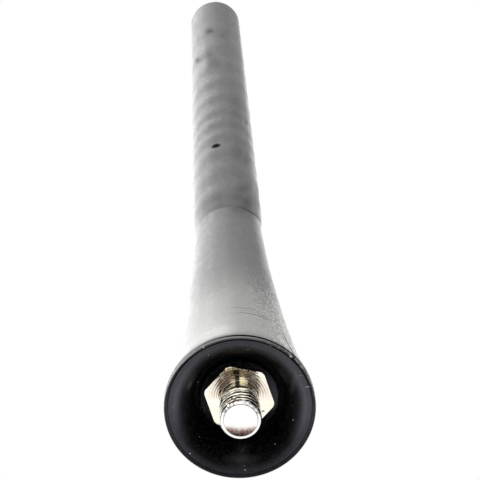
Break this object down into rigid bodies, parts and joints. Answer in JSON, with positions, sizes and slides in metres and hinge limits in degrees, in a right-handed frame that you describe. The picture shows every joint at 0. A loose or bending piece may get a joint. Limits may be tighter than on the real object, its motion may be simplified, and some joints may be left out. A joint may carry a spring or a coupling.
{
  "type": "car roof antenna mast",
  "caption": "Short rubber car antenna mast with a spiral whip, a flared base boot and a threaded stud with a hexagon collar.",
  "frame": {"origin": "on the mast's axis, in the front face of the hexagon collar, the face that seats on the roof base", "axes": "+Z along the mast's axis from the collar to the tip, the stud points down along -Z; the hexagon's first corner is 11 degrees from +X"},
  "size_m": [0.0178, 0.0178, 0.1698],
  "materials": {
    "boot_rubber": "matte",
    "whip_rubber": "matte",
    "nickel": "polished",
    "spring_steel": "satin",
    "brass": "satin",
    "glass_fibre": "satin",
    "solder": "satin",
    "copper": "gloss",
    "shrink_tube": "satin"
  },
  "bodies": {
    "root": {"base_boot": "boot_rubber", "whip_jacket": "whip_rubber", "threaded_stud": "nickel", "neck_spring": "spring_steel", "rod_ferrule": "brass", "core_rod": "glass_fibre", "solder_joint": "solder", "antenna_wire": "copper", "shrink_sleeve": "shrink_tube"}
  },
  "joints": []
}
